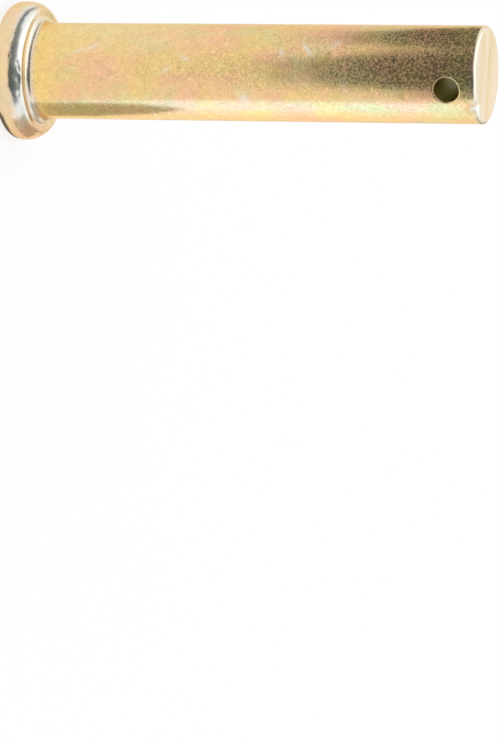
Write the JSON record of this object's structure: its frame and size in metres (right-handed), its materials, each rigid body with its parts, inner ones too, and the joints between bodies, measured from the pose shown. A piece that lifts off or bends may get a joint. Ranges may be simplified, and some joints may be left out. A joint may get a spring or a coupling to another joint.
{
  "type": "clevis pin",
  "caption": "Headed clevis pin: rounded upset head, plain round shank and a cross hole near the tip for a split pin; zinc-plated steel with a yellow passivate.",
  "frame": {"origin": "centre of the head's flat outer face, which the pin stands on", "axes": "+Z along the shank from the head to the tip; the cross hole runs along Y"},
  "size_m": [0.0288, 0.0288, 0.1021],
  "materials": {
    "yellow_zinc": "bright zinc plating with a yellow, faintly iridescent passivate"
  },
  "bodies": {
    "root": {"clevis_pin": "yellow_zinc"}
  },
  "joints": []
}
